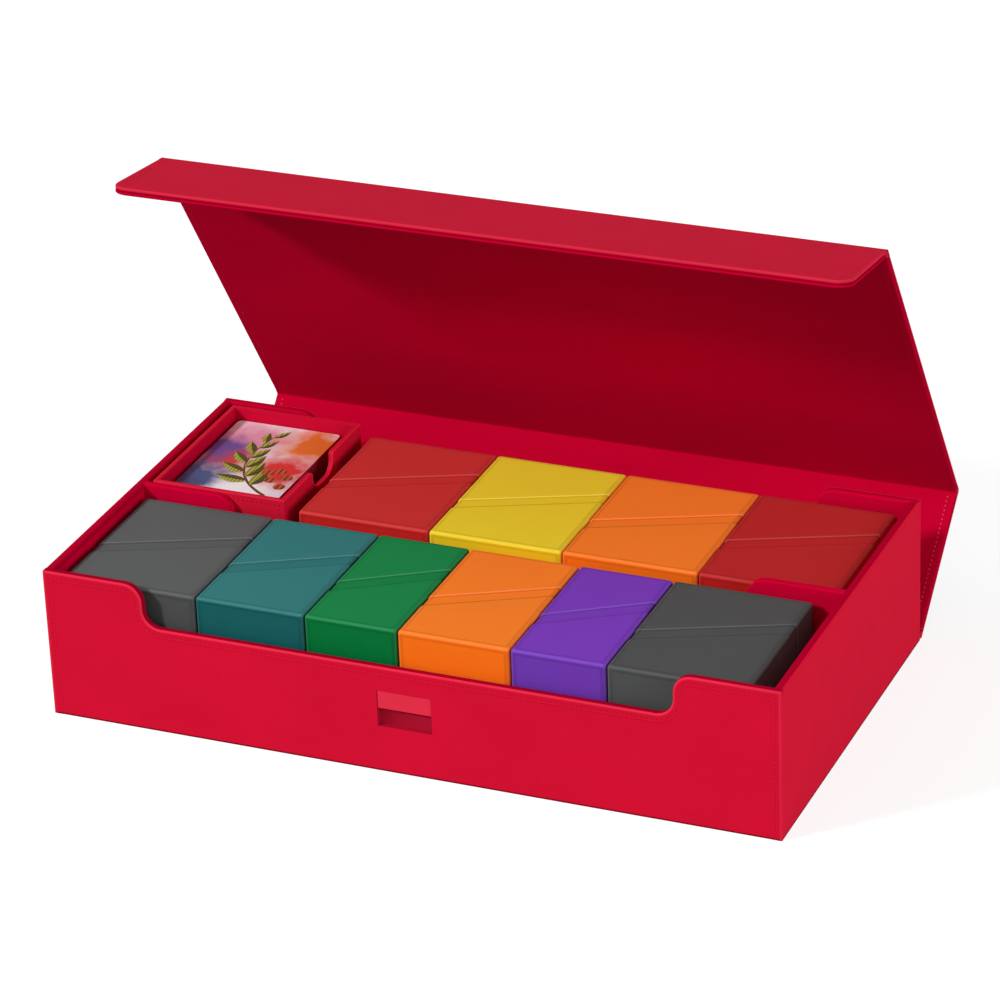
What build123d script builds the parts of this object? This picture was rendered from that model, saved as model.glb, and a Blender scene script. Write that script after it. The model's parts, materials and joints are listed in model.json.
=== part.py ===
"""Card storage box: a tray with two bays, a fold-over cover, a card tray and two rows of card cases.

X runs left to right, Y front to back, Z up. The origin is the centre of the tray's underside.
The cover stands open: its spine leans back from the tray's rear bottom edge, the lid comes
forward over the rear bay and the flap reaches out at the front.
"""

import os
from math import cos, radians, sin

from build123d import *

# Driving dimensions, in millimetres and degrees

# Cards, and the sleeves that add to both their sides
card_width = 63.0
card_length = 88.0
card_thickness = 0.3
card_round = 3.0
sleeve_margin = 3.0

# Card cases: two shells that meet along a slanted seam
wide_case = 76.2
middle_case = 62.0
slim_case = 52.0
case_wall = 2.4
case_round = 2.0
cavity_round = 0.8
case_end_play = 2.2
case_head_play = 5.2
deck_play = 2.0
seam_shift = 7.0
seam_rise = 32.0
seam_band = 9.0
band_depth = 0.5
step_depth = 1.2
seam_round = 0.4
mouth_round = 0.4
mouth_gap = 0.3
neck_overlap = 8.0
neck_fit = 0.25

# Card tray, which stands at the left of the rear bay
card_tray_wall = 2.5
card_tray_side_play = 10.5
card_tray_end_play = 8.0
stack_drop = 7.0
stack_left_inset = 2.6
stack_rear_inset = 0.8
thumb_width = 26.0
thumb_depth = 11.5
thumb_low_round = 8.0
thumb_high_round = 2.5

# Spacing of the two rows in their bays
left_room = 3.6
right_room = 6.8
front_gap = 0.5
rear_gap = 0.4
card_tray_gap = 7.1
bay_play = 5.2
front_row_setback = 4.4
rear_row_setback = 3.0
card_tray_setback = 1.0

# Tray boards and the lining of the bays
wall = 4.0
base_thickness = 2.5
lining = 0.6
head_room = 5.9
end_tab = 57.0
cut_depth = 24.0
cut_round = 10.0
edge_round = 0.8

# Label window in the front wall
window_width = 30.5
window_height = 20.8
window_sill = 26.5
window_depth = 3.0
label_height = 10.4
label_thickness = 2.5
label_fit = 0.3

# Cover panels and the folds between them
panel = 4.0
cover_clearance = 0.4
flap_reach = 60.8
flap_round = 9.0
lining_border = 1.5
fold_seat = 0.05
fold_clearance = 0.3
fold_tab = 1.2
spine_angle = 48.5
lid_turn_angle = 81.2
flap_turn_angle = 50.5

# Magnets that hold the flap against the front wall
magnet_radius = 6.0
magnet_thickness = 2.0
magnet_spacing = 200.0
magnet_edge = 15.0

# Sizes and places worked out from the dimensions above

# Cases and card tray
deck_length = card_length + sleeve_margin
deck_height = card_width + sleeve_margin
case_length = deck_length + case_end_play + 2 * case_wall
case_height = deck_height + case_head_play + 2 * case_wall
front_widths = [wide_case, middle_case, slim_case, middle_case, slim_case, wide_case]
rear_widths = [wide_case] * 4
card_tray_width = card_width + card_tray_side_play + 2 * card_tray_wall
card_tray_depth = card_length + card_tray_end_play + 2 * card_tray_wall

# Tray
front_row = sum(front_widths) + front_gap * (len(front_widths) - 1)
rear_row = card_tray_width + card_tray_gap + sum(rear_widths) + rear_gap * (len(rear_widths) - 1)
inner_width = left_room + max(front_row, rear_row) + right_room
bay_depth = max(case_length, card_tray_depth) + bay_play
floor = base_thickness + lining
tray_width = inner_width + 2 * wall
tray_depth = 2 * bay_depth + 3 * wall
tray_height = floor + case_height + head_room
cut_width = tray_width - 2 * end_tab
front_y = -tray_depth / 2
rear_y = tray_depth / 2
bay_middle = (bay_depth + wall) / 2
row_start = left_room - inner_width / 2

# Cover: each fold line lies on the middle of the panels that it joins
fold_radius = panel / 2
spine_length = tray_height + cover_clearance
lid_length = tray_depth + 2 * cover_clearance + panel
lid_angle = spine_angle - lid_turn_angle
flap_angle = lid_angle - flap_turn_angle
magnet_reach = flap_reach - magnet_edge
magnet_height = tray_height + cover_clearance + fold_radius - magnet_reach

os.makedirs("parts", exist_ok=True)


def save(builder, name):
    """Label a finished piece and write it under its own name."""
    builder.part.label = name
    export_step(builder.part, f"parts/{name}.step")


def notched_outline(outline, length, foot, top, notch_width, notch_depth, low_round, high_round):
    """Draw an upright board with a notch in its top edge that runs in and out in S-curves."""
    with Locations((0, foot)):
        Rectangle(length, top - foot, align=(Align.CENTER, Align.MIN))
    with Locations((0, top)):
        Rectangle(notch_width, 2 * notch_depth, mode=Mode.SUBTRACT)
    ease = min(1.0, 0.95 * notch_depth / (low_round + high_round))
    for level, radius in ((0, low_round), (-1, high_round)):
        corners = outline.vertices().filter_by(lambda corner: abs(corner.X) < notch_width / 2 + 0.01)
        fillet(corners.group_by(Axis.Y)[level], radius * ease)


# Tray boards

def long_wall(length, y_middle, foot=0.0):
    """Long board with a low middle, its top edges eased on both faces."""
    with BuildPart() as board:
        with BuildSketch(Plane.XZ.offset(-y_middle)) as outline:
            notched_outline(outline, length, foot, tray_height, cut_width, cut_depth, cut_round, cut_round)
        extrude(amount=wall / 2, both=True)
        rim = board.edges().filter_by(lambda edge: abs(edge.center().Y - y_middle) > wall / 4)
        rim = rim.filter_by(lambda edge: abs(edge.center().X) < length / 2 - wall / 2)
        fillet(rim.filter_by(lambda edge: edge.center().Z > floor), min(edge_round, wall / 3))
    return board.part


def side_wall(x_middle):
    """Short board between the two long walls, its top edges eased."""
    with BuildPart(Plane(origin=(x_middle, 0, 0))) as board:
        Box(wall, tray_depth - 2 * wall, tray_height, align=(Align.CENTER, Align.CENTER, Align.MIN))
        top = board.faces().sort_by(Axis.Z)[-1]
        fillet(top.edges().filter_by(Axis.Y), min(edge_round, wall / 3))
    return board


def bay_lining(y_middle):
    """Thin skin on a bay's floor and walls, cut to the long walls' outline."""
    with BuildPart() as skin:
        with BuildSketch(Plane.XZ.offset(-y_middle)) as outline:
            notched_outline(outline, inner_width, base_thickness, tray_height - edge_round,
                            cut_width, cut_depth, cut_round, cut_round)
        extrude(amount=bay_depth / 2, both=True)
        with Locations((0, y_middle, floor)):
            Box(inner_width - 2 * lining, bay_depth - 2 * lining, tray_height,
                align=(Align.CENTER, Align.CENTER, Align.MIN), mode=Mode.SUBTRACT)
    return skin


with BuildPart() as base_board:
    Box(inner_width, tray_depth - 2 * wall, base_thickness, align=(Align.CENTER, Align.CENTER, Align.MIN))
save(base_board, "base_board")

wall_magnet_plane = Plane(origin=(0, front_y + wall, magnet_height), x_dir=(1, 0, 0), z_dir=(0, 1, 0))

with BuildPart() as front_wall:
    add(long_wall(tray_width, front_y + wall / 2))
    with Locations((0, front_y, window_sill)):
        Box(window_width, 2 * window_depth, window_height,
            align=(Align.CENTER, Align.CENTER, Align.MIN), mode=Mode.SUBTRACT)
    with Locations(wall_magnet_plane):
        with GridLocations(magnet_spacing, 1, 2, 1):
            Cylinder(magnet_radius, magnet_thickness,
                     align=(Align.CENTER, Align.CENTER, Align.MAX), mode=Mode.SUBTRACT)
save(front_wall, "front_wall")

with BuildPart(wall_magnet_plane) as wall_magnets:
    with GridLocations(magnet_spacing, 1, 2, 1):
        Cylinder(magnet_radius, magnet_thickness, align=(Align.CENTER, Align.CENTER, Align.MAX))
save(wall_magnets, "wall_magnets")

label_top = window_sill + window_height - label_fit
with BuildPart(Plane(origin=(0, front_y + window_depth, label_top))) as label_plate:
    Box(window_width - 2 * label_fit, label_thickness, label_height - label_fit,
        align=(Align.CENTER, Align.MAX, Align.MAX))
save(label_plate, "label_plate")

with BuildPart() as back_wall:
    add(long_wall(tray_width, rear_y - wall / 2))
save(back_wall, "back_wall")

with BuildPart() as row_divider:
    add(long_wall(inner_width, 0, base_thickness))
save(row_divider, "row_divider")

save(side_wall(-(tray_width - wall) / 2), "left_wall")
save(side_wall((tray_width - wall) / 2), "right_wall")
save(bay_lining(-bay_middle), "front_bay_lining")
save(bay_lining(bay_middle), "rear_bay_lining")


# Cover: spine, lid and flap, each swung from a fold line

def heading(lean):
    """Unit vector that leans back from upright by the given angle."""
    return Vector(0, sin(radians(lean)), cos(radians(lean)))


def section_plane(line, lean):
    """Plane across a panel at its fold line: x along the panel, y towards its inner face."""
    return Plane(origin=line, x_dir=heading(lean), z_dir=(1, 0, 0))


def inner_plane(line, lean):
    """Plane on a panel's inner face at its fold line: x across the box, y along the panel."""
    inwards = Vector(1, 0, 0).cross(heading(lean))
    return Plane(origin=line + inwards * fold_radius, x_dir=(1, 0, 0), z_dir=inwards)


def cover_panel(line, lean, length, folds):
    """Board of the cover, grooved where a fold lies and cut back on the inside to fold square."""
    with BuildPart() as board:
        with BuildSketch(section_plane(line, lean)):
            Rectangle(length, panel, align=(Align.MIN, Align.CENTER))
            for place, gap in folds:
                with Locations((place, 0)):
                    Circle(fold_radius + gap, mode=Mode.SUBTRACT)
                    Rectangle(2 * (fold_radius + gap), fold_radius,
                              align=(Align.CENTER, Align.MIN), mode=Mode.SUBTRACT)
        extrude(amount=tray_width / 2, both=True)
    return board.part


def fold_bead(line, lean):
    """Round flexible bead along a fold line."""
    with BuildPart(section_plane(line, lean)) as bead:
        Cylinder(fold_radius, tray_width)
    return bead


def panel_lining(line, lean, start, end, corner=0.0):
    """Thin sheet let into a panel's inner face, from start to end along the panel."""
    with BuildPart() as sheet:
        with BuildSketch(inner_plane(line, lean).offset(-lining)) as outline:
            with Locations((0, (start + end) / 2)):
                Rectangle(tray_width - 2 * lining_border, end - start)
            if corner > 0:
                fillet(outline.vertices().sort_by(Axis.Y)[-2:], corner)
        extrude(amount=lining)
    return sheet


rear_fold_line = Vector(0, rear_y + cover_clearance + fold_radius, fold_radius)
lid_fold_line = rear_fold_line + heading(spine_angle) * spine_length
flap_fold_line = lid_fold_line + heading(lid_angle) * lid_length
panel_start = fold_radius + fold_clearance + lining_border

spine_lining = panel_lining(rear_fold_line, spine_angle, panel_start, spine_length - panel_start)
lid_lining = panel_lining(lid_fold_line, lid_angle, panel_start, lid_length - panel_start)
flap_lining = panel_lining(flap_fold_line, flap_angle, panel_start, flap_reach - lining_border,
                           flap_round - lining_border)
save(spine_lining, "spine_lining")
save(lid_lining, "lid_lining")
save(flap_lining, "flap_lining")

with BuildPart() as rear_fold:
    add(fold_bead(rear_fold_line, spine_angle).part)
    with Locations((0, rear_y, fold_radius)):
        Box(tray_width, cover_clearance + fold_radius, fold_tab,
            align=(Align.CENTER, Align.MIN, Align.CENTER))
save(rear_fold, "rear_fold")
save(fold_bead(lid_fold_line, spine_angle), "lid_fold")
save(fold_bead(flap_fold_line, lid_angle), "flap_fold")

with BuildPart() as spine_panel:
    spine_folds = [(0, fold_clearance), (spine_length, fold_seat)]
    add(cover_panel(rear_fold_line, spine_angle, spine_length, spine_folds))
    spine_edges = spine_panel.edges().filter_by(Axis(rear_fold_line, heading(spine_angle)))
    fillet(spine_edges, min(edge_round, panel / 4))
    add(spine_lining.part, mode=Mode.SUBTRACT)
save(spine_panel, "spine_panel")

with BuildPart() as lid_panel:
    lid_folds = [(0, fold_clearance), (lid_length, fold_seat)]
    add(cover_panel(lid_fold_line, lid_angle, lid_length, lid_folds))
    lid_edges = lid_panel.edges().filter_by(Axis(lid_fold_line, heading(lid_angle)))
    fillet(lid_edges, min(edge_round, panel / 4))
    add(lid_lining.part, mode=Mode.SUBTRACT)
save(lid_panel, "lid_panel")

flap_section = section_plane(flap_fold_line, flap_angle)
flap_magnet_line = flap_fold_line + heading(flap_angle) * magnet_reach
flap_magnet_plane = inner_plane(flap_magnet_line, flap_angle).offset(-lining)

with BuildPart() as flap_panel:
    add(cover_panel(flap_fold_line, flap_angle, flap_reach, [(0, fold_clearance)]))
    upright = flap_panel.edges().filter_by(Axis(flap_fold_line, flap_section.y_dir))
    fillet(upright.sort_by(Axis(flap_fold_line, heading(flap_angle)))[-2:], flap_round)
    faces = flap_panel.faces().filter_by(Axis(flap_fold_line, flap_section.y_dir)).sort_by(SortBy.AREA)[-2:]
    rims = faces.edges().filter_by(lambda edge: flap_section.to_local_coords(edge.center()).X > panel)
    fillet(rims, min(edge_round, panel / 4))
    add(flap_lining.part, mode=Mode.SUBTRACT)
    with Locations(flap_magnet_plane):
        with GridLocations(magnet_spacing, 1, 2, 1):
            Cylinder(magnet_radius, magnet_thickness,
                     align=(Align.CENTER, Align.CENTER, Align.MAX), mode=Mode.SUBTRACT)
save(flap_panel, "flap_panel")

with BuildPart(flap_magnet_plane) as flap_magnets:
    with GridLocations(magnet_spacing, 1, 2, 1):
        Cylinder(magnet_radius, magnet_thickness, align=(Align.CENTER, Align.CENTER, Align.MAX))
save(flap_magnets, "flap_magnets")


# Card tray: five boards, a stack of cards and the card on top

tray_left = row_start
tray_right = row_start + card_tray_width
tray_front = wall / 2 + card_tray_setback
tray_rear = tray_front + card_tray_depth
tray_inside_depth = card_tray_depth - 2 * card_tray_wall
tray_inside_width = card_tray_width - 2 * card_tray_wall
tray_middle = Vector((tray_left + tray_right) / 2, (tray_front + tray_rear) / 2, floor)
tray_rise = tray_height - floor


def tray_board(middle, width, depth, height):
    """Upright or flat board of the card tray, standing on the bay's floor."""
    with BuildPart(Plane(origin=middle)) as board:
        Box(width, depth, height, align=(Align.CENTER, Align.CENTER, Align.MIN))
    return board


across = Vector((card_tray_width - card_tray_wall) / 2, 0, 0)
endwise = Vector(0, (card_tray_depth - card_tray_wall) / 2, 0)
save(tray_board(tray_middle, tray_inside_width, tray_inside_depth, card_tray_wall), "card_tray_floor")
save(tray_board(tray_middle - endwise, card_tray_width, card_tray_wall, tray_rise), "card_tray_front")
save(tray_board(tray_middle + endwise, card_tray_width, card_tray_wall, tray_rise), "card_tray_back")
save(tray_board(tray_middle - across, card_tray_wall, tray_inside_depth, tray_rise), "card_tray_left")

with BuildPart() as card_tray_right:
    with BuildSketch(Plane(origin=tray_middle + across, x_dir=(0, 1, 0), z_dir=(1, 0, 0))) as notched:
        notched_outline(notched, tray_inside_depth, 0, tray_rise, thumb_width, thumb_depth,
                        thumb_low_round, thumb_high_round)
    extrude(amount=card_tray_wall / 2, both=True)
save(card_tray_right, "card_tray_right")

stack_middle = Vector(tray_left + card_tray_wall + stack_left_inset + card_width / 2,
                      tray_rear - card_tray_wall - stack_rear_inset - card_length / 2, 0)
stack_floor = floor + card_tray_wall
stack_top = tray_height - stack_drop


def card_block(foot, thickness):
    """Cards lying flat, with the round corners of a card."""
    with BuildPart() as block:
        with BuildSketch(Plane(origin=stack_middle + Vector(0, 0, foot))):
            RectangleRounded(card_width, card_length, card_round)
        extrude(amount=thickness)
    return block


save(card_block(stack_floor, stack_top - card_thickness - stack_floor), "card_stack")
save(card_block(stack_top - card_thickness, card_thickness), "top_card")


# Card cases: a base with a neck, a lid that slides over the neck, and a deck of cards inside

def seam_plane(width, ahead):
    """Upright plane along the slanted seam, moved ahead of the base's edge and facing the rear."""
    seam = Plane(origin=(0, seam_shift, 0), x_dir=(width, seam_rise, 0), z_dir=(-seam_rise, width, 0))
    return seam.offset(-ahead)


def case_block(width, inset, long_round):
    """Block of a case with every face moved in and its long edges rounded."""
    with BuildPart(Plane.XY.offset(inset)) as block:
        Box(width - 2 * inset, case_length - 2 * inset, case_height - 2 * inset,
            align=(Align.CENTER, Align.CENTER, Align.MIN))
        fillet(block.edges().filter_by(Axis.Y), long_round)
    return block.part


def sleeve_block(width, inset, ahead):
    """Block of a case moved in all round and cut off along the seam, ahead of the base's edge."""
    with BuildPart() as sleeve:
        add(case_block(width, inset, max(case_round - inset, cavity_round)))
        split(bisect_by=seam_plane(width, ahead), keep=Keep.TOP)
    return sleeve.part


def case_pieces(width):
    """Base with its band and neck, lid and deck of one case, standing on its long side at the origin."""
    neck_end = seam_band + neck_overlap
    cavity = case_block(width, case_wall, cavity_round)
    with BuildPart() as form:
        Box(width, case_length, case_height, align=(Align.CENTER, Align.CENTER, Align.MIN))
        fillet(form.edges(), case_round)
    with BuildPart() as base:
        add(form.part)
        split(bisect_by=seam_plane(width, 0), keep=Keep.TOP)
        seam_face = base.faces().filter_by(seam_plane(width, 0))
        fillet(seam_face.edges(), min(seam_round, 0.8 * band_depth))
        add(sleeve_block(width, band_depth, seam_band - mouth_gap))
        add(sleeve_block(width, step_depth, neck_end))
        add(cavity, mode=Mode.SUBTRACT)
    with BuildPart() as lid:
        add(form.part)
        split(bisect_by=seam_plane(width, seam_band), keep=Keep.BOTTOM)
        mouth_face = lid.faces().filter_by(seam_plane(width, seam_band))
        fillet(mouth_face.edges(), min(mouth_round, 0.5 * step_depth))
        add(sleeve_block(width, step_depth - neck_fit, neck_end + neck_fit), mode=Mode.SUBTRACT)
        add(cavity, mode=Mode.SUBTRACT)
    with BuildPart(Plane.XY.offset(case_wall)) as deck:
        Box(width - 2 * case_wall - deck_play, deck_length, deck_height,
            align=(Align.CENTER, Align.CENTER, Align.MIN))
        fillet(deck.edges().filter_by(Axis.X), card_round)
    return {"base": base.part, "lid": lid.part, "cards": deck.part}


case_kinds = {width: case_pieces(width) for width in (wide_case, middle_case, slim_case)}


def place_row(row, widths, start, gap, y_front):
    """Stand a row of cases side by side in its bay, from left to right."""
    x = start
    for number, width in enumerate(widths, 1):
        place = Plane(origin=(x + width / 2, y_front + case_length / 2, floor))
        for kind, piece in case_kinds[width].items():
            with BuildPart(place) as placed:
                add(piece)
            save(placed, f"{row}_case_{number}_{kind}")
        x += width + gap


place_row("front", front_widths, row_start, front_gap, front_y + wall + front_row_setback)
place_row("rear", rear_widths, tray_right + card_tray_gap, rear_gap, wall / 2 + rear_row_setback)
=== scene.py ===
"""Looks of the card storage box: skins, hems, stitching, linings, frosted cases and cards.

Lengths are in metres in the frame's axes: X runs left to right, Y front to back, Z up.
"""

import json

import bpy
import numpy as np
from mathutils import Matrix, Vector


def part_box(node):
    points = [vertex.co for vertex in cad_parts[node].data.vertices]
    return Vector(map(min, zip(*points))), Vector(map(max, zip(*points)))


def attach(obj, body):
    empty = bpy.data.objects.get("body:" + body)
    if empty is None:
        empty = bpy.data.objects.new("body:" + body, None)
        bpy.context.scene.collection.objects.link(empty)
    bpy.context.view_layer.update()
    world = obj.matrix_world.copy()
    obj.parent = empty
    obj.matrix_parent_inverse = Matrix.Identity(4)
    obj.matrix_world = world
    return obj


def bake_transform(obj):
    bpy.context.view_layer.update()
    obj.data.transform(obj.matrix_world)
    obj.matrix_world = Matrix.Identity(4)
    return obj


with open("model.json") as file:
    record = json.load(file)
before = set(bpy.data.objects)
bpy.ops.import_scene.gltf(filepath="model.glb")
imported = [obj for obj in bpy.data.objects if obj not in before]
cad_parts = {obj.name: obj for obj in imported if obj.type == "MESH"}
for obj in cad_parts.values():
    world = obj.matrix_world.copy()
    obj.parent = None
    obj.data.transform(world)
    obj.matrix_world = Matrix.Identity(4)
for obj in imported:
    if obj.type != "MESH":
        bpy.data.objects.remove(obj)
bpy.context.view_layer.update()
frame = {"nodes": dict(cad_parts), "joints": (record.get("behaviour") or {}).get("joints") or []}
nodes = frame["nodes"]


# Finishes

def tint(red, green, blue):
    """Linear colour from screen values of 0 to 255."""
    screen = np.array([red, green, blue]) / 255
    linear = np.where(screen < 0.04045, screen / 12.92, ((screen + 0.055) / 1.055) ** 2.4)
    return (*linear.tolist(), 1.0)


class Finish:
    """One material: its Principled shader, and nodes added by name and fed by value or by link."""

    def __init__(self, name, colour, roughness, gloss=0.5, **sockets):
        self.material = bpy.data.materials.new(name)
        self.material.use_nodes = True
        self.tree = self.material.node_tree
        self.shader = self.tree.nodes["Principled BSDF"]
        self.feed(self.shader, {"Base Color": colour, "Roughness": roughness, "Specular IOR Level": gloss})
        self.feed(self.shader, {key.replace("_", " ").title(): value for key, value in sockets.items()})

    def feed(self, node, inputs):
        """Set a node's inputs: a socket is linked, anything else is written as its value."""
        for key, value in inputs.items():
            if isinstance(value, bpy.types.NodeSocket):
                self.tree.links.new(value, node.inputs[key])
            else:
                node.inputs[key].default_value = value

    def add(self, kind, inputs, out=0, **settings):
        """Add a node, apply its settings, feed its inputs and return one of its outputs."""
        node = self.tree.nodes.new("ShaderNode" + kind)
        for key, value in settings.items():
            setattr(node, key, value)
        self.feed(node, inputs)
        return node.outputs[out]

    def place(self):
        """Position on the piece, in metres in the frame's axes."""
        return self.add("TexCoord", {}, out="Object")

    def math(self, operation, first, second=0.0):
        """One arithmetic step on numbers or sockets."""
        return self.add("Math", {0: first, 1: second}, operation=operation)

    def along(self, axis):
        """Place along one of the frame's axes, in metres."""
        return self.add("SeparateXYZ", {0: self.place()}, out=axis)

    def noise(self, scale, detail=3.0, vector=None):
        """Cloudy pattern between 0 and 1 with features of about 1/scale metres."""
        return self.add("TexNoise", {"Vector": vector or self.place(), "Scale": scale, "Detail": detail})

    def share(self, value, low, high):
        """0 up to the low value, 1 from the high value on, and even between them."""
        return self.add("MapRange", {"Value": value, "From Min": low, "From Max": high})

    def band(self, value, low, high, soft):
        """1 where a value lies between two limits, fading to 0 over a soft width outside them."""
        return self.math("MULTIPLY", self.share(value, low - soft, low), self.share(value, high + soft, high))

    def mix(self, share, first, second):
        """Colour between two colours."""
        return self.add("Mix", {0: share, 6: first, 7: second}, out=2, data_type="RGBA")

    def ramp(self, factor, low, high, dark, light):
        """Colour that goes from dark to light while the factor goes from low to high."""
        return self.mix(self.share(factor, low, high), dark, light)

    def paint(self, colour):
        """Give the shader its colour."""
        self.feed(self.shader, {"Base Color": colour})

    def bump(self, height, strength, distance):
        """Let a height pattern roughen the shading by the given depth."""
        normal = self.add("Bump", {"Strength": strength, "Distance": distance, "Height": height})
        self.feed(self.shader, {"Normal": normal})


def shade(colour, factor):
    """A colour made darker or lighter by a factor."""
    return (*(min(1.0, channel * factor) for channel in colour[:3]), 1.0)


def leather_finish(name, colour, foot=0.0):
    """Fine-grained leatherette: pebbles under a millimetre wide, a faint cloudy tone and, given a foot
    height, painted contact shadow at the bottom.
    """
    finish = Finish(name, colour, 0.7, gloss=0.04)
    tone = finish.ramp(finish.noise(30), 0.3, 0.7, shade(colour, 0.97), shade(colour, 1.03))
    # Painted contact shadow: below the foot height the colour darkens, to 0.3 of itself at 0.4 of that height
    height = finish.share(finish.along(2), 0.4 * foot, foot) if foot else 1.0
    finish.paint(finish.mix(height, shade(colour, 0.3), tone))
    cells = finish.add("TexVoronoi", {"Vector": finish.place(), "Scale": 1500.0}, feature="SMOOTH_F1")
    finish.bump(cells, 0.2, 0.0002)
    return finish.material


def brushed_tone(finish, colour):
    """Tone of brushed microfibre: long faint smears where the nap lies another way, and fine fibres."""
    smear = finish.add("Mapping", {"Vector": finish.place(), "Scale": (0.3, 1.0, 1.0)})
    nap = finish.math("ADD", finish.math("MULTIPLY", finish.noise(40, vector=smear), 0.6),
                      finish.math("MULTIPLY", finish.noise(1200), 0.4))
    return finish.ramp(nap, 0.3, 0.7, shade(colour, 0.93), shade(colour, 1.07))


def microfibre_finish(name, colour):
    """Brushed lining with a soft, wholly matt nap."""
    finish = Finish(name, colour, 0.95, gloss=0.02)
    finish.paint(brushed_tone(finish, colour))
    finish.bump(finish.noise(2500), 0.3, 0.0002)
    return finish.material


def card_tray_finish(name, outer, inner, low, high):
    """Leatherette outside and brushed lining inside the card tray's inner walls."""
    finish = Finish(name, outer, 0.7, gloss=0.08)
    inside = 1.0
    for axis in range(2):
        inside = finish.math("MULTIPLY", inside, finish.band(finish.along(axis), low[axis], high[axis], 1e-5))
    finish.paint(finish.mix(inside, outer, brushed_tone(finish, inner)))
    finish.bump(finish.noise(2000), 0.25, 0.0002)
    return finish.material


def edge_distance(finish, low, high):
    """How far a place on a box lies from the nearest edge: the middle one of its distances to the faces."""
    gaps = []
    for axis in range(3):
        place = finish.along(axis)
        gaps.append(finish.math("MINIMUM", finish.math("SUBTRACT", place, low[axis]),
                                finish.math("SUBTRACT", high[axis], place)))
    nearer = finish.math("MINIMUM", gaps[0], gaps[1])
    further = finish.math("MAXIMUM", gaps[0], gaps[1])
    return finish.math("MAXIMUM", nearer, finish.math("MINIMUM", further, gaps[2]))


def frosted_finish(name, side, roof, low, high):
    """Frosted plastic of one case, with a darker strip inside its edges: painted shade of the rounded edges,
    where the wall also shows through.

    The roof is painted lighter or darker than the sides as top light. The edges themselves, and the base's
    edge along the slanted seam, get pale lines as painted highlights; a line before that edge and the lid's
    mouth get painted shade.
    """
    finish = Finish(name, side, 0.5, gloss=0.04, sheen_weight=0.02, subsurface_weight=0.4,
                    subsurface_scale=0.002)
    finish.feed(finish.shader, {"Subsurface Radius": (1, 1, 1)})
    # Painted top light: the side colour turns into the roof colour over the top rounding
    tone = finish.ramp(finish.along(2), high[2] - roof_light_depth, high[2] - roof_light_fade, side, roof)
    # Pale and dark mixes of the tone, for painted highlights and painted shade
    pale = finish.mix(0.25, tone, (1, 1, 1, 1))
    dark = finish.mix(0.5, tone, (0, 0, 0, 1))
    edge = edge_distance(finish, low, high)
    middle, width = (low + high) / 2, high[0] - low[0]
    across = np.array((-seam_rise, width)) / np.hypot(seam_rise, width)
    seam = finish.math("ADD", finish.math("MULTIPLY", finish.along(0), across[0]),
                       finish.math("MULTIPLY", finish.along(1), across[1]))
    base_edge = across[0] * middle[0] + across[1] * (middle[1] + seam_shift)
    lid_edge = base_edge - seam_band
    # Each painted line of highlight and shade: what it follows, where it starts and ends, how softly, its
    # tone and how strong it is
    # In turn: shade inside the edges, highlight on them, highlight on the base's seam edge, shade before it,
    # shade at the lid's mouth
    lines = [(edge, 0.0018, 0.0028, 0.0006, dark, 0.35),
             (edge, 0.0002, 0.0008, 0.0006, pale, 0.1),
             (seam, base_edge + 0.0002, base_edge + 0.0008, 0.0004, pale, 0.2),
             (seam, base_edge - 0.0009, base_edge - 0.0003, 0.0005, dark, 0.45),
             (seam, lid_edge - 0.0005, lid_edge + 0.0005, 0.0006, dark, 0.75)]
    for place, start, end, soft, line, strength in lines:
        tone = finish.mix(finish.math("MULTIPLY", finish.band(place, start, end, soft), strength), tone, line)
    finish.paint(tone)
    finish.bump(finish.noise(3000), 0.08, 0.0001)
    return finish.material


def wash(finish, under, colour, centre, reach, scale):
    """Watercolour wash over what lies under it: strong at a place on the card, torn at its rim by noise."""
    away = finish.add("VectorMath", {0: finish.place(), 1: centre}, out="Value", operation="DISTANCE")
    torn = finish.math("ADD", finish.math("DIVIDE", away, reach), finish.noise(scale, detail=6.0))
    return finish.mix(finish.share(torn, 1.45, 0.85), under, colour)


def card_finish(name, low, high):
    """Printed card: white paper with loose washes of pink, red, orange, violet and slate."""
    tone = tint(238, 228, 234)
    finish = Finish(name, tone, 0.4, gloss=0.3)
    # Each wash: its colour, its middle as shares of the card's width and length, and its reach
    washes = [(tint(226, 150, 176), (0.25, 0.75), 0.030), (tint(208, 40, 48), (0.20, 0.48), 0.024),
              (tint(232, 120, 50), (0.90, 0.80), 0.028), (tint(218, 58, 56), (0.80, 0.40), 0.026),
              (tint(102, 66, 142), (0.06, 0.62), 0.022), (tint(66, 78, 128), (0.08, 0.18), 0.030),
              (tint(246, 242, 246), (0.62, 0.06), 0.024), (tint(52, 58, 96), (0.02, 0.04), 0.016)]
    for number, (colour, (across, along), reach) in enumerate(washes):
        centre = (low[0] + across * (high[0] - low[0]), low[1] + along * (high[1] - low[1]), high[2])
        tone = wash(finish, tone, colour, centre, reach, 70.0 + 9.0 * number)
    finish.paint(tone)
    return finish.material


def layered_finish(name, dark, light, axis, pitch):
    """Fine even lines one pitch apart along an axis: edges of many sheets, or the veins of a print."""
    finish = Finish(name, light, 0.6, gloss=0.2)
    layer = finish.math("FRACT", finish.math("DIVIDE", finish.along(axis), pitch))
    finish.paint(finish.ramp(layer, 0.2, 0.5, dark, light))
    return finish.material


# Cases: how far the slanted seam lies behind the middle, its rise, the band before it, and the rim below the
# top over which the painted roof light ramps in
seam_shift = 0.007
seam_rise = 0.032
seam_band = 0.009
roof_light_depth = 0.0018
roof_light_fade = 0.0002

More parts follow.
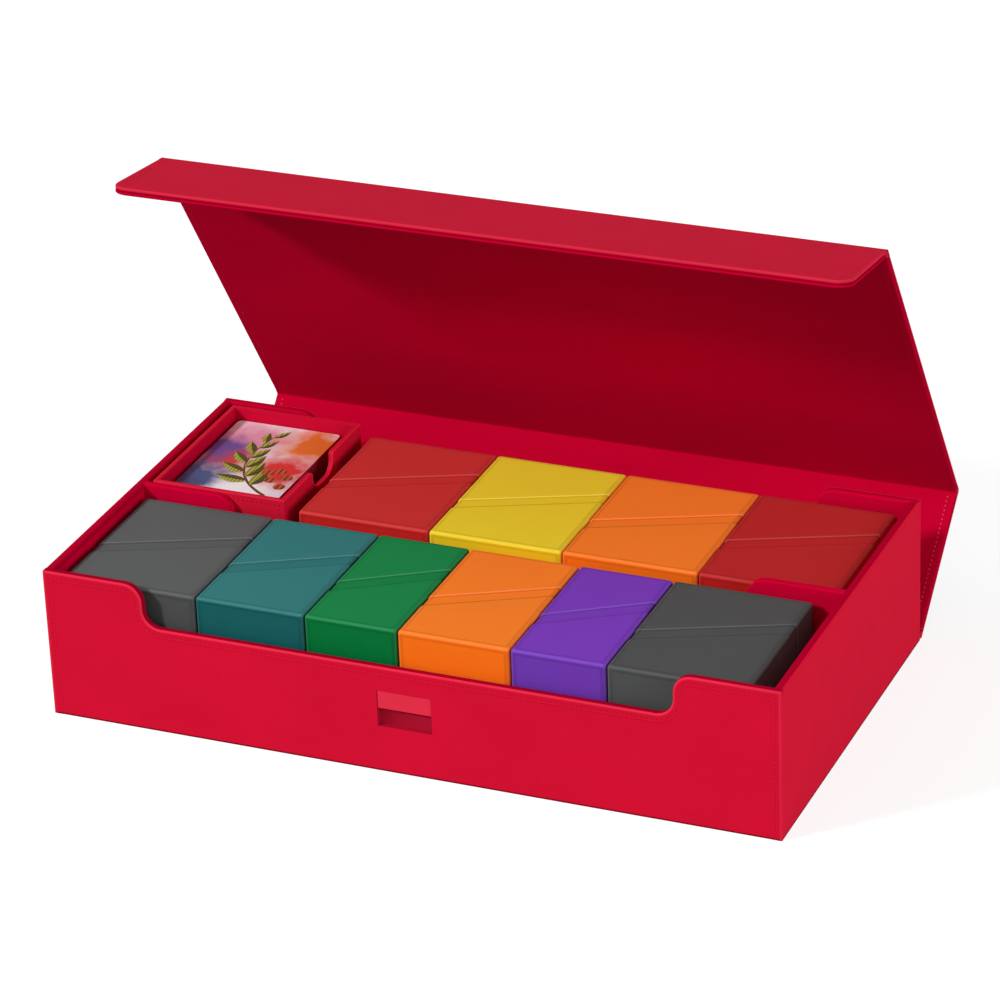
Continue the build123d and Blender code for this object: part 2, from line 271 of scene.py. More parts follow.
leather_red = tint(216, 15, 51)
lining_red = tint(196, 0, 48)
# The tray's leatherette is painted darker along its bottom 1.3 mm as contact shadow
leatherette = leather_finish("leatherette", leather_red, foot=0.0013)
cover_leather = leather_finish("cover_leatherette", tint(196, 17, 49))
# Lighter copies of the leatherettes for the rounded lips on the edges: painted highlights
lip_highlight_leather = leather_finish("lip_highlight_leatherette", tint(226, 40, 68))
cover_lip_highlight_leather = leather_finish("cover_lip_highlight_leatherette", tint(208, 37, 63))
microfibre = microfibre_finish("microfibre", lining_red)
cover_lining = microfibre_finish("cover_lining", tint(189, 0, 45))
# Darker sheet for the recess under the label: painted shade
pocket_shade_lining = microfibre_finish("pocket_shade_lining", tint(170, 18, 46))
# Darker copies of the lining for the tops of the front and side walls: painted shade; the back wall's top
# keeps the lining's own colour
cap_painted_shade = microfibre_finish("cap_painted_shade", tint(154, 0, 35))
side_cap_painted_shade = microfibre_finish("side_cap_painted_shade", tint(174, 0, 40))
thread = Finish("thread", tint(204, 14, 48), 0.6, gloss=0.1).material
# Pale thread for the spine's lining stitches: painted highlight where the spine is lit
lining_thread_highlight = Finish("lining_thread_highlight", tint(214, 70, 96), 0.6, gloss=0.1).material
dark_thread = Finish("dark_thread", tint(168, 0, 36), 0.6, gloss=0.1).material
# Dark spots at the needle holes: painted shade
needle_hole_shade = Finish("needle_hole_shade", tint(138, 4, 30), 0.8, gloss=0.0).material
# Dark band along the seam between leatherette and lining on the cover's edges
dark_seam = Finish("dark_seam", tint(160, 0, 32), 0.8, gloss=0.0).material
label_red = leather_finish("label_red", tint(232, 48, 74))
magnet_steel = Finish("magnet_steel", tint(160, 160, 162), 0.35, metallic=1.0).material
sleeves = layered_finish("sleeves", tint(96, 6, 20), tint(140, 24, 44), 2, 0.0006)
deck_paper = layered_finish("deck_paper", tint(206, 203, 196), tint(232, 230, 224), 0, 0.0007)

# Side colour and roof colour of the cases of each colour; the roof colour is painted top light or shade on
# the same plastic
case_colours = {
    "grey": (tint(76, 78, 78), tint(88, 91, 91)),
    "dark_grey": (tint(80, 82, 82), tint(77, 80, 80)),
    "teal": (tint(22, 93, 94), tint(48, 120, 120)),
    "green": (tint(2, 114, 54), tint(16, 131, 70)),
    "orange": (tint(250, 114, 20), tint(246, 126, 38)),
    "purple": (tint(112, 58, 176), tint(118, 59, 184)),
    "red": (tint(202, 34, 34), tint(198, 48, 46)),
    "dark_red": (tint(194, 32, 32), tint(184, 38, 38)),
    "yellow": (tint(238, 198, 30), tint(232, 208, 44)),
}
row_colours = {
    "front": ["grey", "teal", "green", "orange", "purple", "dark_grey"],
    "rear": ["red", "yellow", "orange", "dark_red"],
}


def joint_box(*names):
    """Lowest and highest corner of several nodes together."""
    corners = np.array([[list(corner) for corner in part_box(name)] for name in names])
    return corners[:, 0].min(0), corners[:, 1].max(0)


def dress(piece, finish):
    """Give a piece one finish."""
    piece.data.materials.clear()
    piece.data.materials.append(finish)


case_finishes = {}
for row, colours in row_colours.items():
    for number, colour in enumerate(colours, 1):
        case = f"{row}_case_{number}"
        box = joint_box(f"{case}_base", f"{case}_lid")
        case_finishes[case] = frosted_finish(f"frosted_{case}", *case_colours[colour], *box)
card_print = card_finish("card_print", *joint_box("top_card"))
inner_low = (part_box("card_tray_left")[1].x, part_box("card_tray_front")[1].y)
inner_high = (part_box("card_tray_right")[0].x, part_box("card_tray_back")[0].y)
card_tray_skin = card_tray_finish("card_tray_skin", tint(202, 14, 48), lining_red, inner_low, inner_high)

for name, piece in nodes.items():
    if name in ("front_bay_lining", "rear_bay_lining", "row_divider"):
        dress(piece, microfibre)
    elif name in ("spine_lining", "lid_lining", "flap_lining"):
        dress(piece, cover_lining)
    elif name.startswith("card_tray"):
        dress(piece, card_tray_skin)
    elif name == "label_plate":
        dress(piece, label_red)
    elif name.endswith("magnets"):
        dress(piece, magnet_steel)
    elif name == "card_stack":
        dress(piece, sleeves)
    elif name == "top_card":
        dress(piece, card_print)
    elif name.endswith("_cards"):
        dress(piece, deck_paper)
    elif "_case_" in name:
        dress(piece, case_finishes[name.rpartition("_")[0]])
    elif name in ("spine_panel", "lid_fold", "lid_panel", "flap_fold", "flap_panel"):
        dress(piece, cover_leather)
    else:
        dress(piece, leatherette)


# Edges: paths along the boards' edges, hems that wrap them and stitches that hold the hems

hem_width = 0.0052
hem_rise = 0.00016
hem_fade = 0.0007
hem_sink = 0.00004
stitch_inset = 0.0034
stitch_pitch = 0.0027
stitch_length = 0.0019
thread_radius = 0.00035
thread_rise = 0.00016
thread_rings = 6
ring_sides = 6
lip_crest = 5


def unit(vectors):
    """Vectors brought to length 1."""
    return vectors / np.linalg.norm(vectors, axis=-1, keepdims=True)


def right_of(directions):
    """Plane directions turned a quarter to the right."""
    return np.stack([directions[..., 1], -directions[..., 0]], -1)


def edge_path(corners, radii, steps=9):
    """Flat path through corners: an arc of the given radius at each, or a mitre where it is 0.

    Returns the points and, to the right of travel, the directions that lead into the board.
    On an arc the direction turns evenly from one run's side to the next run's.
    """
    corners = np.array(corners)
    runs = unit(np.diff(corners, axis=0))
    points, inwards = [corners[:1]], [right_of(runs[:1])]
    for corner, radius, before, after in zip(corners[1:-1], radii, runs[:-1], runs[1:]):
        sides = right_of(np.stack([before, after]))
        if radius == 0:
            points.append(corner[None])
            inwards.append(sides.sum(0, keepdims=True) / (1 + sides[0] @ sides[1]))
            continue
        turn = np.arctan2(before[0] * after[1] - before[1] * after[0], before @ after)
        side = -np.sign(turn)
        start = corner - before * radius * np.tan(abs(turn) / 2)
        centre = start + side * radius * sides[0]
        angles = np.linspace(0, turn, steps)[:, None]
        normals = np.cos(angles) * sides[0] + np.sin(angles) * before
        points.append(centre - side * radius * normals)
        inwards.append(normals)
    points.append(corners[-1:])
    inwards.append(right_of(runs[-1:]))
    return np.concatenate(points), np.concatenate(inwards)


def flank_profile(width, end, rise):
    """Hem on a face, as (distance in from the edge, height): a parabola up, with a dip for the stitches."""
    inset = np.linspace(width, end, 17)
    climb = np.clip((width - inset) / hem_fade, 0, 1)
    dip = 0.8 * np.exp(-((inset - stitch_inset) / (1.4 * thread_radius)) ** 2)
    height = rise * (1 - (1 - climb) ** 2 - dip)
    height[0] = -hem_sink
    return np.stack([inset, height], -1)


def lip_profile(start, proud, high, low, turn=1.0):
    """Half ellipse over an edge: it starts in on the face, swells past the edge and ends lower down.

    The turn is the share of the half ellipse that is kept. A whole one has its crest at the middle point.
    """
    angle = np.linspace(0, turn * np.pi, 2 * lip_crest + 1)
    return np.stack([start - (start + proud) * np.sin(angle),
                     (high + low) / 2 + (high - low) / 2 * np.cos(angle)], -1)


def hem_grid(points, inwards, out, profile):
    """Skin over an edge: every profile point is carried along the path by its distance and height."""
    return points[:, None] + inwards[:, None] * profile[:, :1] + out * profile[:, 1:]


def marks_along(points, spacing, shift):
    """Places and directions of marks spaced evenly along a polyline, from a shift given in spaces."""
    reach = np.concatenate([[0], np.cumsum(np.linalg.norm(np.diff(points, axis=0), axis=1))])
    count = int(reach[-1] // spacing)
    at = (np.arange(count) + shift) * reach[-1] / count

    def where(distance):
        return np.stack([np.interp(distance, reach, points[:, axis]) for axis in range(3)], -1)

    return where(at), unit(where(at + 0.3 * spacing) - where(at - 0.3 * spacing))


def stitch_rings(points, out):
    """Threads along a path: flat rings that swell as an ellipse and sink into a hole at each end."""
    places, runs = marks_along(points, stitch_pitch, 0.5)
    share = np.linspace(-1, 1, thread_rings)[:, None, None]
    angle = (np.arange(ring_sides)[:, None] + 0.5) * 2 * np.pi / ring_sides
    places, runs = places[:, None, None], runs[:, None, None]
    ring = np.cross(runs, out) * thread_radius * np.cos(angle) + out * thread_rise * np.sin(angle)
    sink = out * thread_rise * 0.9 * share ** 2
    return places + runs * share * stitch_length / 2 + ring * np.sqrt(1.02 - share ** 2) - sink


def hole_rings(points, out):
    """Needle holes between the threads: small dark spots painted as the holes' shade, just over the skin,
    with none where the row starts.
    """
    places, runs = (values[1:] for values in marks_along(points, stitch_pitch, 0.0))
    angle = np.arange(ring_sides)[:, None] * 2 * np.pi / ring_sides
    ring = runs[:, None] * np.cos(angle) + np.cross(out, runs)[:, None] * np.sin(angle)
    return places[:, None] + ring * thread_radius + out * 0.3 * hem_rise


def grid_faces(rows, columns, closed=False):
    """Corner numbers of the four-sided faces of a grid, joined round its columns where it is closed."""
    row, column = np.meshgrid(np.arange(rows - 1), np.arange(columns - (not closed)), indexing="ij")
    beside = (column + 1) % columns
    corners = [row * columns + column, (row + 1) * columns + column,
               (row + 1) * columns + beside, row * columns + beside]
    return np.stack(corners, -1).reshape(-1, 4)


def new_piece(name, points, faces, finish, body, slot):
    """Mesh piece at the origin, which rides on a body if one is named; the slot is not used."""
    mesh = bpy.data.meshes.new(name)
    mesh.from_pydata(points.reshape(-1, 3).tolist(), [], faces)
    mesh.polygons.foreach_set("use_smooth", np.ones(len(mesh.polygons), bool))
    piece = bpy.data.objects.new(name, mesh)
    bpy.context.collection.objects.link(piece)
    dress(piece, finish)
    if body:
        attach(piece, body)
    return piece


def gather(parts):
    """Points and faces of several meshes as one: each mesh's corner numbers move past those before it."""
    counts = np.cumsum([0] + [points.size // 3 for points, _ in parts])
    points = np.concatenate([points.reshape(-1, 3) for points, _ in parts])
    return points, [face for start, (_, faces) in zip(counts, parts) for face in (faces + start).tolist()]


def edge_piece(name, edges, profile, finish, body, slot):
    """One skin over several edges of a body."""
    grids = [hem_grid(points, inwards, out, profile) for points, inwards, out in edges]
    parts = [(grid, grid_faces(*grid.shape[:2])) for grid in grids]
    new_piece(name, *gather(parts), finish, body, slot)


def stitch_pieces(name, rows, finish, body):
    """Threads and needle holes along several rows of a body."""
    rings = np.concatenate([stitch_rings(points, out) for points, out in rows])
    around = grid_faces(thread_rings, ring_sides, closed=True)
    corners = thread_rings * ring_sides
    first_end = np.arange(ring_sides)
    ends = np.stack([first_end, corners - 1 - first_end])
    starts = (np.arange(len(rings)) * corners)[:, None, None]
    faces = (starts + around).reshape(-1, 4).tolist() + (starts + ends).reshape(-1, ring_sides).tolist()
    new_piece(f"{name}_threads", rings, faces, finish, body, "leatherette")
    spots = np.concatenate([hole_rings(points, out) for points, out in rows])
    spot_faces = np.arange(len(spots) * ring_sides).reshape(-1, ring_sides).tolist()
    new_piece(f"{name}_holes", spots, spot_faces, needle_hole_shade, body, "leatherette")


class Board:
    """Outer face of a board: a place on it, its two directions, and the way that it faces."""

    def __init__(self, origin, across, along):
        self.origin, self.across, self.along = (np.array(v, float) for v in (origin, across, along))
        self.out = np.cross(self.across, self.along)

    def edge(self, corners, radii=()):
        """An edge of the board in the frame: points, inward directions and the way the face looks."""
        points, inwards = edge_path(corners, radii)
        axes = np.stack([self.across, self.along])
        return self.origin + points @ axes, inwards @ axes, self.out


def stitch_row(edge, inset=stitch_inset, depth=0.0):
    """Line of stitches along an edge, on the outer face or, at a board's depth, on its inner face."""
    points, inwards, out = edge
    return points + inwards * inset - out * depth, -out if depth else out


# Tray: leatherette over the walls' outer edges, lining over their tops with painted shade on front and sides,
# a pocket under the label lined in painted shade

wall = 0.004
wall_lining = 0.0006
end_tab = 0.057
cut_depth = 0.024
cut_round = 0.010
lip_depth = 0.0010
lip_reach = 0.0007
lip_proud = 0.00012
cap_proud = 0.00006
cap_round = 0.0009
cap_flank = 0.0024

tray_low, tray_high = joint_box("front_wall", "back_wall")
left, front, foot = tray_low
right, rear, top = tray_high
low_edge = top - cut_depth

top_outline = [(left, top), (left + end_tab, top), (left + end_tab, low_edge),
               (right - end_tab, low_edge), (right - end_tab, top), (right, top)]
top_radii = [cut_round] * 4
long_outline = [(left, foot), *top_outline, (right, foot)]
long_radii = [0, *top_radii, 0]
side_outline = [(front + wall - cap_round, top), (rear - wall + cap_round, top)]
front_face = Board((0, front, 0), (1, 0, 0), (0, 0, 1))
back_face = Board((0, rear, 0), (-1, 0, 0), (0, 0, 1))
right_face = Board((right, 0, 0), (0, 1, 0), (0, 0, 1))
left_face = Board((left, 0, 0), (0, -1, 0), (0, 0, 1))
long_edges = [face.edge(long_outline, long_radii) for face in (front_face, back_face)]
top_edges = [face.edge(top_outline, top_radii) for face in (front_face, back_face)]
side_edges = [face.edge(side_outline) for face in (right_face, left_face)]

wall_flank = flank_profile(hem_width, lip_depth, hem_rise)
wall_lip = np.concatenate([
    lip_profile(lip_depth, lip_proud, hem_rise, -2 * lip_reach - hem_rise, turn=0.5),
    [(2 * lip_proud, -1.2 * lip_reach)]])
wall_back = -wall - wall_lining - cap_proud
wall_cap = np.concatenate([
    [(2 * lip_proud, -0.8 * lip_reach), (-cap_proud, -lip_reach), (-cap_proud, wall_back + 1.4 * cap_round)],
    lip_profile(cap_round, cap_proud, wall_back + 2.8 * cap_round, wall_back)[lip_crest + 1:],
    [(cap_flank, wall_back), (cap_flank + hem_fade, wall_back + 3 * cap_proud)]])
edge_piece("tray_hems", long_edges + side_edges, wall_flank, leatherette, "tray", "leatherette")
# The long edges' lips in the lighter leatherette: painted highlight
edge_piece("tray_lips", long_edges, wall_lip, lip_highlight_leather, "tray", "leatherette")
edge_piece("tray_side_lips", side_edges, wall_lip, leatherette, "tray", "leatherette")
# Front wall's top in the darkest copy of the lining, side walls' tops in a mid copy: painted shade
edge_piece("tray_front_cap", top_edges[:1], wall_cap, cap_painted_shade, "tray", "microfibre")
edge_piece("tray_back_cap", top_edges[1:], wall_cap, microfibre, "tray", "microfibre")
lower_cap = wall_cap + (hem_sink / 2, 0)
edge_piece("tray_side_caps", side_edges, lower_cap, side_cap_painted_shade, "tray", "microfibre")
stitch_pieces("tray", [stitch_row(edge) for edge in long_edges], thread, "tray")

window_width = 0.0305
window_depth = 0.003
window_sill = 0.0265
pocket_gap = 0.00003


def label_pocket():
    """Dark sheet lining the window below the label, its tone painted shade of the recess: a path in plan
    round three walls, drawn upwards, and a floor.
    """
    side = window_width / 2 - pocket_gap
    back = front + window_depth - pocket_gap
    sill = window_sill + pocket_gap
    walls = np.zeros((4, 2, 3))
    walls[..., :2] = np.array([(-side, front), (-side, back), (side, back), (side, front)])[:, None]
    walls[..., 2] = sill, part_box("label_plate")[0].z
    floor = np.array([[(x, y, sill) for y in (front, back)] for x in (-side, side)])
    parts = [(walls, grid_faces(4, 2)), (floor, grid_faces(2, 2))]
    new_piece("label_pocket", *gather(parts), pocket_shade_lining, "tray", "microfibre")


label_pocket()


# Cover: leatherette and lining meet at a seam along the free edges of spine, lid and flap

panel = 0.004
fold_radius = panel / 2
fold_room = 0.0034
flap_reach = 0.0608
flap_round = 0.009
flap_angle = -83.2
edge_start = 0.0006
edge_proud = 0.0002
upper_lip = -0.0017
lower_lip = -0.0023
lining_rise = 0.00006
lining_inset = 0.0042

rear_fold, lid_fold, flap_fold = (np.array(joint["pos_m"]) for joint in frame["joints"][:3])
spine_length = np.linalg.norm(lid_fold - rear_fold)
lid_length = np.linalg.norm(flap_fold - lid_fold)
tray_heading = np.array((0.0, 1.0, 0.0))
spine_heading = (lid_fold - rear_fold) / spine_length
lid_heading = (flap_fold - lid_fold) / lid_length
flap_heading = np.array((0, np.sin(np.radians(flap_angle)), np.cos(np.radians(flap_angle))))


def cover_face(fold, heading):
    """Outer face of a cover panel at its fold line, with the box's width across it."""
    face = Board(fold, (-1, 0, 0), heading)
    face.origin = face.origin + face.out * fold_radius
    return face


def straight_edges(face, length):
    """The two straight edges of a panel between its fold lines."""
    start, end = fold_room, length - fold_room
    return [face.edge([(left, start), (left, end)]), face.edge([(right, end), (right, start)])]


cover_edges = {
    "spine": straight_edges(cover_face(rear_fold, spine_heading), spine_length),
    "lid": straight_edges(cover_face(lid_fold, lid_heading), lid_length),
    "flap": [cover_face(flap_fold, flap_heading).edge(
        [(left, fold_room), (left, flap_reach), (right, flap_reach), (right, fold_room)], [flap_round] * 2)],
}
outer_flank = flank_profile(hem_width, edge_start, hem_rise)
outer_lip = lip_profile(edge_start, edge_proud, hem_rise, upper_lip)
seam_line = np.array([(-hem_sink, upper_lip + edge_start), (-hem_sink, lower_lip - edge_start)])
inner_hem = np.concatenate([lip_profile(edge_start, edge_proud, lower_lip, -panel - lining_rise),
                            [(hem_width, -panel - lining_rise), (1.3 * hem_width, -panel + hem_sink)]])
for body, edges in cover_edges.items():
    edge_piece(f"{body}_hems", edges, outer_flank, cover_leather, body, "leatherette")
    # Lips in the lighter leatherette: painted highlight along the edges
    edge_piece(f"{body}_lips", edges, outer_lip, cover_lip_highlight_leather, body, "leatherette")
    edge_piece(f"{body}_seams", edges, seam_line, dark_seam, body, "leatherette")
    edge_piece(f"{body}_lining_edges", edges, inner_hem, cover_lining, body, "microfibre")
    stitch_pieces(body, [stitch_row(edge) for edge in edges], thread, body)
    # The spine's lining stitches in the pale thread as painted highlight, the lid's and flap's in the darker
    # tonal thread
    stitch_pieces(f"{body}_lining", [stitch_row(edge, lining_inset, panel) for edge in edges],
                  lining_thread_highlight if body == "spine" else dark_thread, body)


# Folds: leatherette over the outside and lining over the inside of each fold line

skin_reach = 0.005
skin_rise = 0.00007
crease_round = 0.001


def outer_skin(fold, before, after, run_before):
    """Path of the outer skin: along one panel, round the fold line in an arc, and along the next panel."""
    faces = [np.cross((-1, 0, 0), heading) for heading in (before, after)]
    angle = np.linspace(0, np.arccos(faces[0] @ faces[1]), 9)[:, None]
    arc = fold + (fold_radius + skin_rise) * (np.cos(angle) * faces[0] + np.sin(angle) * before)
    ends = [fold + (fold_radius - skin_rise) * face + along * reach
            for face, along, reach in ((faces[0], before, -skin_reach), (faces[1], after, skin_reach))]
    return np.stack([*ends[:run_before], *arc, ends[1]])


def inner_skin(fold, before, after):
    """Path of the inner skin: the two panels' inner faces, with a small arc where they meet."""
    faces = [np.cross((-1, 0, 0), heading) for heading in (before, after)]
    offset = fold_radius + skin_rise
    corner = fold - offset * (faces[0] + faces[1]) / (1 + faces[0] @ faces[1])
    ends = [fold - offset * faces[0] - before * skin_reach, fold - offset * faces[1] + after * skin_reach]
    section = np.array([ends[0], corner, ends[1]])[:, 1:]
    points, _ = edge_path(section, [crease_round])
    return np.insert(points, 0, 0.0, axis=1)


def fold_skin(name, path, way, finish, slot):
    """Skin across the box's whole width along a path that runs round the fold."""
    sides = np.array([(way * left, 0, 0), (way * right, 0, 0)])
    grid = path[:, None] + sides
    piece = new_piece(name, grid, grid_faces(*grid.shape[:2]).tolist(), finish, None, slot)
    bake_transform(piece)


folds = [("rear", rear_fold, tray_heading, spine_heading, ("tray", "spine")),
         ("lid", lid_fold, spine_heading, lid_heading, ("spine", "lid")),
         ("flap", flap_fold, lid_heading, flap_heading, ("lid", "flap"))]
for name, fold, before, after, bodies in folds:
    inside = name != "rear"
    fold_skin(f"{name}_fold_skin", outer_skin(fold, before, after, inside), 1,
              cover_leather, "leatherette")
    if inside:
        fold_skin(f"{name}_fold_lining", inner_skin(fold, before, after), -1,
                  cover_lining, "microfibre")


# Card tray: a rounded rim on every board, painted highlight lines along outer edges and stitches on the front
# board

rim_round = 0.0005
rim_proud = 0.00006
rim_flank = 0.0016
line_rise = 0.00003
thumb_width = 0.026
thumb_depth = 0.0115
thumb_low_round = 0.008
thumb_high_round = 0.0025
tray_stitch_inset = 0.003

tray_box_low, tray_box_high = joint_box("card_tray_front", "card_tray_back")
tray_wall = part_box("card_tray_front")[1].y - tray_box_low[1]
tray_top, tray_foot = tray_box_high[2], tray_box_low[2]
rim_back = -tray_wall - rim_proud
tray_rim = np.concatenate([
    [(rim_flank + hem_fade, -rim_proud), (rim_flank, rim_proud)],
    lip_profile(rim_round, rim_proud, rim_proud, -2 * rim_round)[:lip_crest + 1],
    lip_profile(rim_round, rim_proud, rim_back + 2 * rim_round, rim_back)[lip_crest:],
    [(rim_flank, rim_back), (rim_flank + hem_fade, rim_back + 2 * rim_proud)]])
line_proud = rim_proud + line_rise
# Profile of the painted highlight line over a rim's outer edge
rim_highlight_line = np.concatenate([
    [(2 * rim_round, 0)],
    lip_profile(rim_round, line_proud, line_proud, -2 * rim_round)[:lip_crest + 1],
    [(0, -1.6 * rim_round)]])
front_board = Board((0, tray_box_low[1], 0), (1, 0, 0), (0, 0, 1))
back_board = Board((0, tray_box_high[1], 0), (-1, 0, 0), (0, 0, 1))
right_board = Board((tray_box_high[0], 0, 0), (0, 1, 0), (0, 0, 1))
left_board = Board((tray_box_low[0], 0, 0), (0, -1, 0), (0, 0, 1))
board_ends = (tray_box_low[1] + tray_wall, tray_box_high[1] - tray_wall)
thumb_middle = sum(board_ends) / 2
thumb_ends = (thumb_middle - thumb_width / 2, thumb_middle + thumb_width / 2)
thumb_low = tray_top - thumb_depth


def rim_edges(start, end):
    """Top edges of the four boards; those of the side boards run from one place to another along Y."""
    return [
        front_board.edge([(tray_box_low[0], tray_top), (tray_box_high[0], tray_top)]),
        back_board.edge([(-tray_box_high[0], tray_top), (-tray_box_low[0], tray_top)]),
        left_board.edge([(-end, tray_top), (-start, tray_top)]),
        right_board.edge(
            [(start, tray_top), (thumb_ends[0], tray_top), (thumb_ends[0], thumb_low),
             (thumb_ends[1], thumb_low), (thumb_ends[1], tray_top), (end, tray_top)],
            [thumb_high_round, thumb_low_round, thumb_low_round, thumb_high_round]),
    ]


edge_piece("card_tray_rims", rim_edges(*board_ends), tray_rim, card_tray_skin, "card_tray", "leatherette")
# Thin skins in the lighter leatherette over the rims' outer edges: painted highlight lines
edge_piece("card_tray_highlight_lines", rim_edges(tray_box_low[1], tray_box_high[1]), rim_highlight_line, lip_highlight_leather,
           "card_tray", "leatherette")
front_outline = front_board.edge([(tray_box_low[0], tray_foot), (tray_box_low[0], tray_top),
                                  (tray_box_high[0], tray_top), (tray_box_high[0], tray_foot)], [0, 0])
stitch_pieces("card_tray", [stitch_row(front_outline, tray_stitch_inset)], thread, "card_tray")


# Card: a leafy sprig printed on the washes

card_low, card_high = joint_box("top_card")
print_layer = 0.00002
leaf_bend = 0.18
leaf_swell = 0.21
leaf_light = layered_finish("leaf_light", tint(110, 118, 40), tint(176, 178, 66), 0, 0.0021)
leaf_dark = layered_finish("leaf_dark", tint(52, 48, 22), tint(98, 88, 38), 1, 0.0017)
bark = layered_finish("bark", tint(84, 44, 26), tint(128, 74, 44), 1, 0.0019)
berry = layered_finish("berry", tint(112, 40, 26), tint(186, 96, 48), 0, 0.0031)


def on_card(points, layer):
    """Places given as shares of the card's width and length, laid on its print in thin layers."""
    flat = card_low[:2] + points * (card_high[:2] - card_low[:2])
    height = card_high[2] + layer * print_layer
    return np.concatenate([flat, np.full((*flat.shape[:-1], 1), height)], -1)


def stem_curve(share):
    """Stem across the card: a parabola from root to tip, drawn towards a bend, in shares of the card."""
    share = np.asarray(share)[..., None]
    root, bend, tip = (np.array(point) for point in ((0.86, 0.06), (0.26, 0.30), (0.46, 0.86)))
    return (1 - share) ** 2 * root + 2 * share * (1 - share) * bend + share ** 2 * tip


def leaf_grids(shares, turns, lengths):
    """Both halves of each leaf: a curved midrib, and half a width that swells as a sine along it."""
    roots = on_card(stem_curve(shares), layer=2)
    runs = unit(on_card(stem_curve(shares + 0.02), layer=2) - roots)
    turns, lengths = turns[:, None], lengths[:, None, None, None]
    ribs = runs * np.cos(turns) + np.cross((0, 0, 1), runs) * np.sin(turns)
    blades = np.cross((0, 0, 1), ribs)[:, None, None]
    along = np.linspace(0, 1, 13)[:, None, None]
    bend = np.sign(turns)[..., None, None] * leaf_bend * along * along
    spines = roots[:, None, None] + lengths * (ribs[:, None, None] * along - blades * bend)
    swell = leaf_swell * lengths * np.sin(np.pi * along ** 0.8) * blades
    halves = np.array([0.0, 0.5, 1.0])[:, None]
    return spines + swell * halves, spines - swell * halves[::-1]


def print_grids(name, grids, finish):
    """Printed shape made of several flat grids that face up."""
    faces = grid_faces(*grids.shape[1:3])
    new_piece(name, *gather([(grid, faces) for grid in grids]), finish, "cards", "card_face")


leaf_count = 11
leaf_side = np.where(np.arange(leaf_count) % 2, 1, -1)
leaf_turns = leaf_side * np.radians(np.linspace(58, 30, leaf_count))
light_halves, dark_halves = leaf_grids(np.linspace(0.2, 0.97, leaf_count), leaf_turns,
                                       np.linspace(0.021, 0.012, leaf_count))
print_grids("sprig_leaves_light", light_halves, leaf_light)
print_grids("sprig_leaves_dark", dark_halves, leaf_dark)

stem_steps = 25
stem_places = on_card(stem_curve(np.linspace(0, 1, stem_steps)), layer=1)
stem_sides = np.cross((0, 0, 1), unit(np.gradient(stem_places, axis=0)))
stem_width = np.linspace(0.0010, 0.0003, stem_steps)[:, None]
stem_grid = np.stack([stem_places - stem_sides * stem_width, stem_places + stem_sides * stem_width], 1)
print_grids("sprig_stem", stem_grid[None], bark)

berry_shares = np.array([(0.78, 0.27), (0.90, 0.33), (0.80, 0.40), (0.91, 0.20), (0.70, 0.36)])
berry_places = on_card(berry_shares, layer=3)
berry_size = 0.0034
berry_sides = 24
berry_angle = np.arange(berry_sides)[:, None] * 2 * np.pi / berry_sides
berry_ring = berry_size * np.concatenate([np.cos(berry_angle), np.sin(berry_angle), 0 * berry_angle], -1)
berry_faces = np.arange(len(berry_places) * berry_sides).reshape(-1, berry_sides).tolist()
new_piece("sprig_berries", berry_places[:, None] + berry_ring, berry_faces, berry, "cards", "card_face")


# Stage: floor, lamps, world and camera

floor_bounce = (0.25, 0.25, 0.25, 1)
floor_tone = (0.3, 0.3, 0.3, 1)
floor_glow = 0.79
shadow_reach = 0.7
white_reach = 2.2
box_middle = (0, 0.03, 0.1)


def stage_floor(half):
    """Pale floor; it is seen lifted to white, wholly so far out, and keeps the shadow near the box."""
    mesh = bpy.data.meshes.new("floor")
    corners = [(half * x, half * y, 0) for x, y in ((-1, -1), (1, -1), (1, 1), (-1, 1))]
    mesh.from_pydata(corners, [], [(0, 1, 2, 3)])
    floor = bpy.data.objects.new("floor", mesh)
    bpy.context.collection.objects.link(floor)
    finish = Finish("floor_white", floor_bounce, 0.9, gloss=0.0)
    path = finish.tree.nodes.new("ShaderNodeLightPath").outputs
    seen = finish.math("MAXIMUM", path["Is Camera Ray"],
                       finish.math("MAXIMUM", path["Is Glossy Ray"], path["Is Transmission Ray"]))
    away = finish.add("VectorMath", {0: finish.place()}, out="Value", operation="LENGTH")
    near = finish.share(away, white_reach, shadow_reach)
    shadowed = finish.mix(near, (0, 0, 0, 1), floor_tone)
    glow = finish.add("MapRange", {"Value": near, "To Min": 1.0, "To Max": floor_glow})
    finish.paint(finish.mix(seen, floor_bounce, shadowed))
    strength = finish.math("MULTIPLY", seen, glow)
    finish.feed(finish.shader, {"Emission Color": (1, 1, 1, 1), "Emission Strength": strength})
    dress(floor, finish.material)


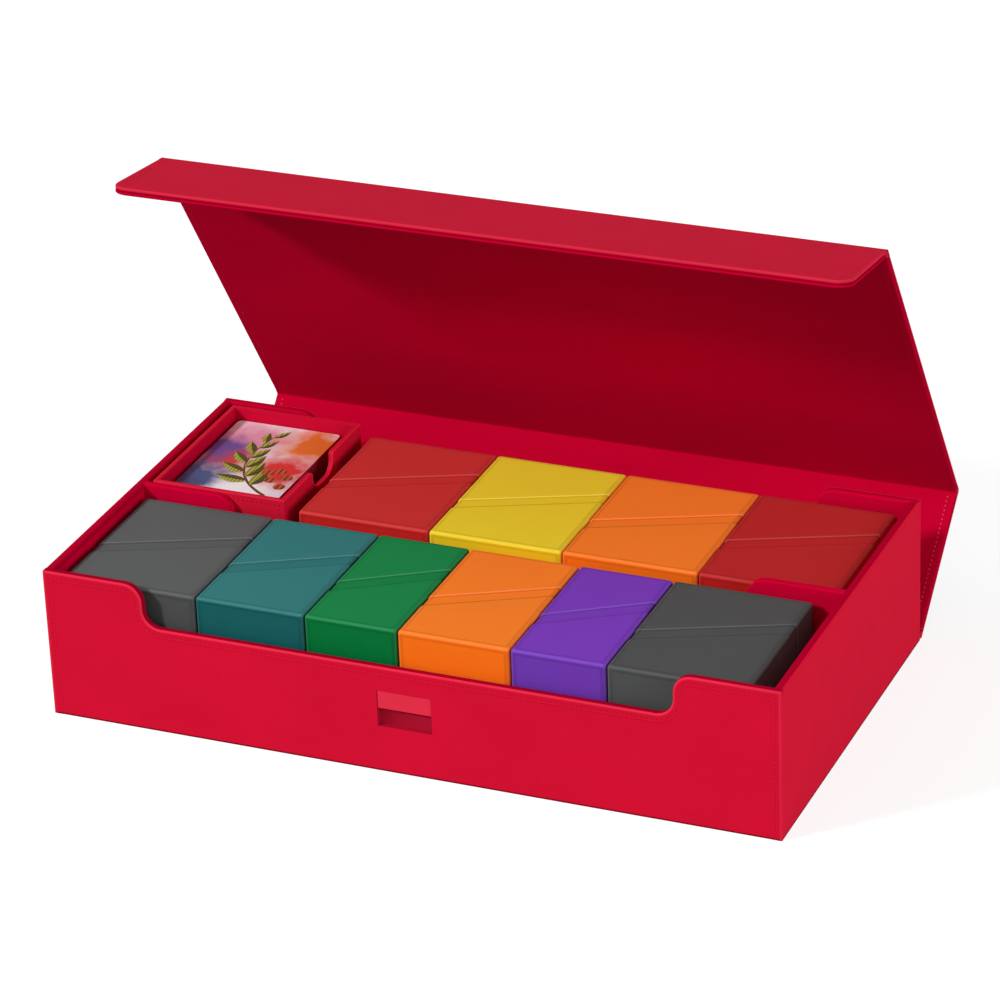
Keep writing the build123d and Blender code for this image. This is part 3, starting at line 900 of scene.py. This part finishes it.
def lamp(name, place, aim, size, factor):
    """Square lamp that gives a white surface facing it the given share of full white."""
    light = bpy.data.lights.new(name, "AREA")
    light.size = size
    towards = Vector(aim) - Vector(place)
    light.energy = factor * (np.pi * towards.length) ** 2
    lamp_object = bpy.data.objects.new(name, light)
    turn = towards.to_track_quat("-Z", "Y").to_matrix().to_4x4()
    lamp_object.matrix_world = Matrix.Translation(place) @ turn
    bpy.context.collection.objects.link(lamp_object)


def stage_world(strength):
    """Even white surroundings: full white where seen, dimmer as light on the object."""
    world = bpy.data.worlds.new("surroundings")
    bpy.context.scene.world = world
    world.use_nodes = True
    tree = world.node_tree
    path = tree.nodes.new("ShaderNodeLightPath").outputs
    seen = tree.nodes.new("ShaderNodeMapRange")
    tree.links.new(path["Is Camera Ray"], seen.inputs["Value"])
    seen.inputs["To Min"].default_value = strength
    background = tree.nodes["Background"]
    background.inputs["Color"].default_value = (1, 1, 1, 1)
    tree.links.new(seen.outputs[0], background.inputs["Strength"])


def stage_camera(place, azimuth, elevation, roll, lens):
    """Camera turned by azimuth round the box, tipped down by elevation and rolled about its view."""
    turn, tip, lean = np.radians((azimuth, elevation, roll))
    back = Vector((np.cos(tip) * np.sin(turn), -np.cos(tip) * np.cos(turn), np.sin(tip)))
    level = Vector((np.cos(turn), np.sin(turn), 0))
    above = back.cross(level)
    right = level * np.cos(lean) + above * np.sin(lean)
    camera = bpy.data.objects.new("camera", bpy.data.cameras.new("camera"))
    camera.data.lens = lens
    camera.data.sensor_width = 36.0
    axes = Matrix((right, back.cross(right), back)).transposed().to_4x4()
    camera.matrix_world = Matrix.Translation(place) @ axes
    bpy.context.collection.objects.link(camera)
    bpy.context.scene.camera = camera


stage_floor(half=6.0)
stage_world(strength=0.51)
lamp("key_lamp", (-4.2, -4.2, 3.9), box_middle, size=0.7, factor=0.75)
lamp("side_lamp", (3.6, -0.9, 0.75), box_middle, size=2.0, factor=0.55)
stage_camera((0.86764, -1.96554, 1.17404), azimuth=23.585, elevation=26.448, roll=-2.338, lens=163.945)
bpy.context.scene.view_settings.view_transform = "Standard"
